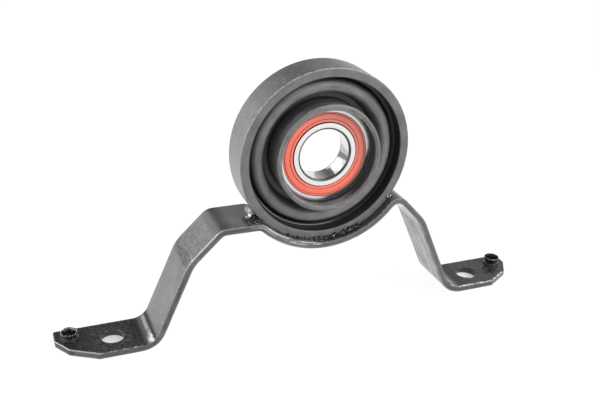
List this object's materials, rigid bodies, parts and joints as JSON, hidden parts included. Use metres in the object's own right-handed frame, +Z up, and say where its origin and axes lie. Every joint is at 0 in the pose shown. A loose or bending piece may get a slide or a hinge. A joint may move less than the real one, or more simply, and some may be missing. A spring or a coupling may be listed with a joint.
{
  "type": "driveshaft centre bearing",
  "caption": "Sealed ball bearing held in a folded rubber ring inside a steel ring, welded to a bent strap bracket with two bolted feet; carries a driveshaft between its ends.",
  "frame": {"origin": "centre of the bearing, on the shaft's axis", "axes": "+Y along the shaft from front to back, +X along the strap to the right foot, +Z up"},
  "size_m": [0.2961, 0.0294, 0.1539],
  "materials": {
    "strap_paint": "satin dark grey coating",
    "ring_paint": "rough dark grey coating",
    "weld_bead": "lumpy weld under gloss coating, bright where the coating is missing",
    "locating_sleeve_paint": "gloss black coating",
    "moulded_rubber": "satin moulded rubber",
    "sleeve_steel": "pressed steel",
    "race_steel": "ground and polished steel",
    "seal_red": "satin orange-red seal rubber",
    "cage_steel": "pressed sheet steel",
    "ball_steel": "polished steel"
  },
  "bodies": {
    "bracket": {"strap_bracket": "strap_paint", "outer_ring": "ring_paint", "weld_front": "weld_bead", "weld_rear": "weld_bead", "weld_left": "weld_bead", "weld_right": "weld_bead", "locating_sleeve_left": "locating_sleeve_paint", "locating_sleeve_right": "locating_sleeve_paint", "rubber_ring": "moulded_rubber", "bearing_sleeve": "sleeve_steel", "outer_race": "race_steel", "front_seal": "seal_red", "rear_seal": "seal_red"},
    "inner_ring": {"inner_race": "race_steel"},
    "cage": {"cage_front": "cage_steel", "cage_rear": "cage_steel", "cage_rivets": "cage_steel"},
    "ball_01": {"ball_01": "ball_steel"},
    "ball_02": {"ball_02": "ball_steel"},
    "ball_03": {"ball_03": "ball_steel"},
    "ball_04": {"ball_04": "ball_steel"},
    "ball_05": {"ball_05": "ball_steel"},
    "ball_06": {"ball_06": "ball_steel"},
    "ball_07": {"ball_07": "ball_steel"},
    "ball_08": {"ball_08": "ball_steel"},
    "ball_09": {"ball_09": "ball_steel"},
    "ball_10": {"ball_10": "ball_steel"},
    "ball_11": {"ball_11": "ball_steel"}
  },
  "joints": [
    {"name": "shaft_spin", "type": "hinge", "parent": "bracket", "child": "inner_ring", "pos_m": [0, 0, 0], "axis": [0, 1, 0], "continuous": true},
    {"name": "cage_turn", "type": "hinge", "parent": "bracket", "child": "cage", "pos_m": [0, 0, 0], "axis": [0, 1, 0], "continuous": true},
    {"name": "ball_01_roll", "type": "hinge", "parent": "cage", "child": "ball_01", "pos_m": [0.02125, 0, 0], "axis": [0, 1, 0], "continuous": true},
    {"name": "ball_02_roll", "type": "hinge", "parent": "cage", "child": "ball_02", "pos_m": [0.01788, 0, -0.01149], "axis": [0, 1, 0], "continuous": true},
    {"name": "ball_03_roll", "type": "hinge", "parent": "cage", "child": "ball_03", "pos_m": [0.00883, 0, -0.01933], "axis": [0, 1, 0], "continuous": true},
    {"name": "ball_04_roll", "type": "hinge", "parent": "cage", "child": "ball_04", "pos_m": [-0.00302, 0, -0.02103], "axis": [0, 1, 0], "continuous": true},
    {"name": "ball_05_roll", "type": "hinge", "parent": "cage", "child": "ball_05", "pos_m": [-0.01392, 0, -0.01606], "axis": [0, 1, 0], "continuous": true},
    {"name": "ball_06_roll", "type": "hinge", "parent": "cage", "child": "ball_06", "pos_m": [-0.02039, 0, -0.00599], "axis": [0, 1, 0], "continuous": true},
    {"name": "ball_07_roll", "type": "hinge", "parent": "cage", "child": "ball_07", "pos_m": [-0.02039, 0, 0.00599], "axis": [0, 1, 0], "continuous": true},
    {"name": "ball_08_roll", "type": "hinge", "parent": "cage", "child": "ball_08", "pos_m": [-0.01392, 0, 0.01606], "axis": [0, 1, 0], "continuous": true},
    {"name": "ball_09_roll", "type": "hinge", "parent": "cage", "child": "ball_09", "pos_m": [-0.00302, 0, 0.02103], "axis": [0, 1, 0], "continuous": true},
    {"name": "ball_10_roll", "type": "hinge", "parent": "cage", "child": "ball_10", "pos_m": [0.00883, 0, 0.01933], "axis": [0, 1, 0], "continuous": true},
    {"name": "ball_11_roll", "type": "hinge", "parent": "cage", "child": "ball_11", "pos_m": [0.01788, 0, 0.01149], "axis": [0, 1, 0], "continuous": true}
  ],
  "couplings": [
    {"joint": "cage_turn", "follows": "shaft_spin", "ratio": 0.41595},
    {"joint": "ball_01_roll", "follows": "shaft_spin", "ratio": -2.8905},
    {"joint": "ball_02_roll", "follows": "shaft_spin", "ratio": -2.8905},
    {"joint": "ball_03_roll", "follows": "shaft_spin", "ratio": -2.8905},
    {"joint": "ball_04_roll", "follows": "shaft_spin", "ratio": -2.8905},
    {"joint": "ball_05_roll", "follows": "shaft_spin", "ratio": -2.8905},
    {"joint": "ball_06_roll", "follows": "shaft_spin", "ratio": -2.8905},
    {"joint": "ball_07_roll", "follows": "shaft_spin", "ratio": -2.8905},
    {"joint": "ball_08_roll", "follows": "shaft_spin", "ratio": -2.8905},
    {"joint": "ball_09_roll", "follows": "shaft_spin", "ratio": -2.8905},
    {"joint": "ball_10_roll", "follows": "shaft_spin", "ratio": -2.8905},
    {"joint": "ball_11_roll", "follows": "shaft_spin", "ratio": -2.8905}
  ]
}
